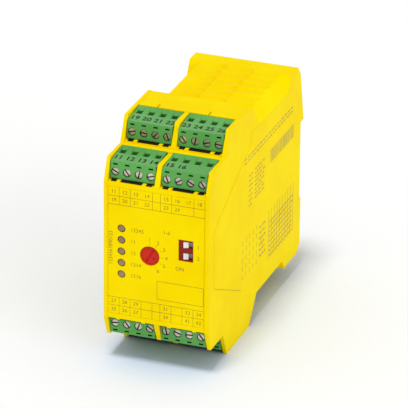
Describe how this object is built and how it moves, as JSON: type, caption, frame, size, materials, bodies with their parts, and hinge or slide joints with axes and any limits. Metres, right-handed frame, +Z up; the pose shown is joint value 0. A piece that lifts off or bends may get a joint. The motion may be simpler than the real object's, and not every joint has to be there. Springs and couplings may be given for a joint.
{
  "type": "safety relay",
  "caption": "Safety relay module with stepped tiers of pull-off screw terminals, setting knob, coding switch, status lamps and a clip for a mounting rail.",
  "frame": {"origin": "middle of the rail seat on the rear, at the height of the rail centre line", "axes": "+Y out of the rear towards the rail, +Z up along the mounted device, +X to the right seen from the front"},
  "size_m": [0.045, 0.1145, 0.099],
  "materials": {
    "housing": "fine satin",
    "cover": "fine satin",
    "panel": "fine satin",
    "latch": "fine satin",
    "plug_green": "satin",
    "screw_steel": "plated, turned",
    "clamp_metal": "plated",
    "pin_metal": "tinned",
    "header_plastic": "matte",
    "lens": "clear grey",
    "knob_red": "satin",
    "switch_body": "matte",
    "coding_switch_red": "satin",
    "slide_white": "satin",
    "board": "lacquered laminate",
    "relay_case": "satin",
    "transformer_core": "laminated",
    "capacitor_can": "sleeved",
    "link_plastic": "matte",
    "spring_steel": "bright"
  },
  "bodies": {
    "housing": {"board_link": "link_plastic", "capacitor_1": "capacitor_can", "capacitor_2": "capacitor_can", "dip_switch_body": "coding_switch_red", "front_board": "board", "front_cover": "cover", "front_panel": "panel", "header_bottom_front_left": "header_plastic", "header_bottom_front_right": "header_plastic", "header_bottom_rear_left": "header_plastic", "header_bottom_rear_right": "header_plastic", "header_pins_bottom": "pin_metal", "header_pins_top": "pin_metal", "header_top_front_left": "header_plastic", "header_top_front_right": "header_plastic", "header_top_rear_left": "header_plastic", "header_top_rear_right": "header_plastic", "housing_shell": "housing", "latch_spring": "spring_steel", "led_lens_1": "lens", "led_lens_2": "lens", "led_lens_3": "lens", "led_lens_4": "lens", "led_lens_5": "lens", "relay_bottom_left": "relay_case", "relay_bottom_right": "relay_case", "relay_top_left": "relay_case", "relay_top_right": "relay_case", "rotary_switch_body": "switch_body", "terminal_board_bottom": "board", "terminal_board_top": "board", "transformer": "transformer_core"},
    "plug_top_front_left": {"plug_body_top_front_left": "plug_green", "plug_screws_top_front_left": "screw_steel", "plug_clamps_top_front_left": "clamp_metal"},
    "plug_top_front_right": {"plug_body_top_front_right": "plug_green", "plug_screws_top_front_right": "screw_steel", "plug_clamps_top_front_right": "clamp_metal"},
    "plug_top_rear_left": {"plug_body_top_rear_left": "plug_green", "plug_screws_top_rear_left": "screw_steel", "plug_clamps_top_rear_left": "clamp_metal"},
    "plug_top_rear_right": {"plug_body_top_rear_right": "plug_green", "plug_screws_top_rear_right": "screw_steel", "plug_clamps_top_rear_right": "clamp_metal"},
    "plug_bottom_front_left": {"plug_body_bottom_front_left": "plug_green", "plug_screws_bottom_front_left": "screw_steel", "plug_clamps_bottom_front_left": "clamp_metal"},
    "plug_bottom_front_right": {"plug_body_bottom_front_right": "plug_green", "plug_screws_bottom_front_right": "screw_steel", "plug_clamps_bottom_front_right": "clamp_metal"},
    "plug_bottom_rear_left": {"plug_body_bottom_rear_left": "plug_green", "plug_screws_bottom_rear_left": "screw_steel", "plug_clamps_bottom_rear_left": "clamp_metal"},
    "plug_bottom_rear_right": {"plug_body_bottom_rear_right": "plug_green", "plug_screws_bottom_rear_right": "screw_steel", "plug_clamps_bottom_rear_right": "clamp_metal"},
    "knob": {"rotary_knob": "knob_red"},
    "coding_slide_1": {"dip_slider_1": "slide_white"},
    "coding_slide_2": {"dip_slider_2": "slide_white"},
    "latch": {"rail_latch": "latch"}
  },
  "joints": [
    {"name": "plug_top_front_left_pull", "type": "slide", "parent": "housing", "child": "plug_top_front_left", "axis": [0, -1, 0], "range_m": [0, 0.012]},
    {"name": "plug_top_front_right_pull", "type": "slide", "parent": "housing", "child": "plug_top_front_right", "axis": [0, -1, 0], "range_m": [0, 0.012]},
    {"name": "plug_top_rear_left_pull", "type": "slide", "parent": "housing", "child": "plug_top_rear_left", "axis": [0, -1, 0], "range_m": [0, 0.012]},
    {"name": "plug_top_rear_right_pull", "type": "slide", "parent": "housing", "child": "plug_top_rear_right", "axis": [0, -1, 0], "range_m": [0, 0.012]},
    {"name": "plug_bottom_front_left_pull", "type": "slide", "parent": "housing", "child": "plug_bottom_front_left", "axis": [0, -1, 0], "range_m": [0, 0.012]},
    {"name": "plug_bottom_front_right_pull", "type": "slide", "parent": "housing", "child": "plug_bottom_front_right", "axis": [0, -1, 0], "range_m": [0, 0.012]},
    {"name": "plug_bottom_rear_left_pull", "type": "slide", "parent": "housing", "child": "plug_bottom_rear_left", "axis": [0, -1, 0], "range_m": [0, 0.012]},
    {"name": "plug_bottom_rear_right_pull", "type": "slide", "parent": "housing", "child": "plug_bottom_rear_right", "axis": [0, -1, 0], "range_m": [0, 0.012]},
    {"name": "knob_turn", "type": "hinge", "parent": "housing", "child": "knob", "pos_m": [-0.0028, -0.1111, 0], "axis": [0, 1, 0], "range_deg": [-120, 30]},
    {"name": "coding_slide_1_shift", "type": "slide", "parent": "housing", "child": "coding_slide_1", "axis": [1, 0, 0], "range_m": [0, 0.0019]},
    {"name": "coding_slide_2_shift", "type": "slide", "parent": "housing", "child": "coding_slide_2", "axis": [1, 0, 0], "range_m": [0, 0.0019]},
    {"name": "latch_pull", "type": "slide", "parent": "housing", "child": "latch", "axis": [0, 0, -1], "range_m": [0, 0.003], "stiffness_N_per_m": 800, "springref_m": -0.002, "deforming": ["latch_spring"]}
  ]
}
